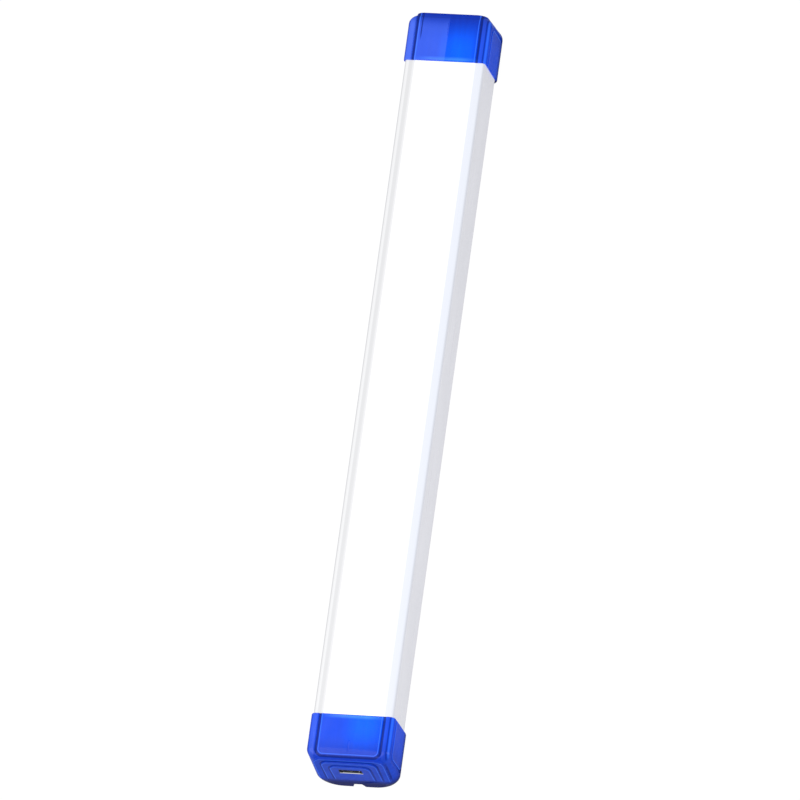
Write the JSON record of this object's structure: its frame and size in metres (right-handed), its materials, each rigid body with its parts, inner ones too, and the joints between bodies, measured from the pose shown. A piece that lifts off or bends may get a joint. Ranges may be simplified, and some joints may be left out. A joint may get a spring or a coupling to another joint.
{
  "type": "led light tube",
  "caption": "Rechargeable square LED light tube with blue end caps, charging socket, mode button, magnets in its back and fold-out hanging hooks.",
  "frame": {"origin": "middle of the back, on the surface that the lamp lies on", "axes": "+Z out of the lit front, +Y along the tube towards the button end, +X across"},
  "size_m": [0.032, 0.297, 0.024],
  "materials": {
    "diffuser": "milky satin polycarbonate, lit from inside",
    "cap_plastic": "glossy royal blue moulding, slightly translucent",
    "button_rubber": "satin blue push button",
    "switch_black": "matte black",
    "switch_metal": "stamped steel case",
    "circuit_board": "green solder mask",
    "hook_steel": "bright nickel plated stamping",
    "pin_steel": "drawn steel wire",
    "light_board": "white solder mask on aluminium",
    "led_package": "phosphor under clear resin",
    "cell_foil": "satin laminate foil",
    "foam_tape": "black foam tape",
    "nickel": "nickel strip",
    "magnet_nickel": "nickel plated magnet",
    "chip_black": "moulded epoxy",
    "chip_tan": "ceramic",
    "indicator_lens": "red indicator lens",
    "usb_steel": "folded steel shell",
    "contact_gold": "gold flashed contacts",
    "wire_red": "red wire insulation",
    "wire_black": "black wire insulation",
    "wire_white": "white wire insulation"
  },
  "bodies": {
    "lamp": {"diffuser_tube": "diffuser", "usb_end_cap": "cap_plastic", "button_end_cap": "cap_plastic", "switch_body": "switch_metal", "switch_board": "circuit_board", "usb_end_hook_pin": "pin_steel", "button_end_hook_pin": "pin_steel", "led_board": "light_board", "led_row_left": "led_package", "led_row_right": "led_package", "led_resistors": "chip_black", "battery_cell_a": "cell_foil", "battery_cell_b": "cell_foil", "battery_foam_a": "foam_tape", "battery_foam_b": "foam_tape", "protection_board": "circuit_board", "battery_tabs": "nickel", "usb_side_magnet": "magnet_nickel", "button_side_magnet": "magnet_nickel", "charge_board": "circuit_board", "charge_controller": "chip_black", "charge_inductor": "chip_black", "charge_passives": "chip_tan", "charge_indicator": "indicator_lens", "usb_shell": "usb_steel", "usb_tongue": "switch_black", "usb_contacts": "contact_gold", "led_lead_red": "wire_red", "led_lead_black": "wire_black", "battery_lead_red": "wire_red", "battery_lead_black": "wire_black", "switch_lead_left": "wire_white", "switch_lead_right": "wire_white"},
    "button": {"mode_button": "button_rubber", "switch_plunger": "switch_black"},
    "usb_hook": {"usb_end_hook": "hook_steel"},
    "button_hook": {"button_end_hook": "hook_steel"}
  },
  "joints": [
    {"name": "usb_hook_fold", "type": "hinge", "parent": "lamp", "child": "usb_hook", "pos_m": [0, -0.1451, 0.0015], "axis": [-1, 0, 0], "range_deg": [0, 180]},
    {"name": "button_hook_fold", "type": "hinge", "parent": "lamp", "child": "button_hook", "pos_m": [0, 0.1451, 0.0015], "axis": [1, 0, 0], "range_deg": [0, 180]},
    {"name": "mode_press", "type": "slide", "parent": "lamp", "child": "button", "axis": [0, -1, 0], "range_m": [0, 0.0006], "stiffness_N_per_m": 2500}
  ]
}
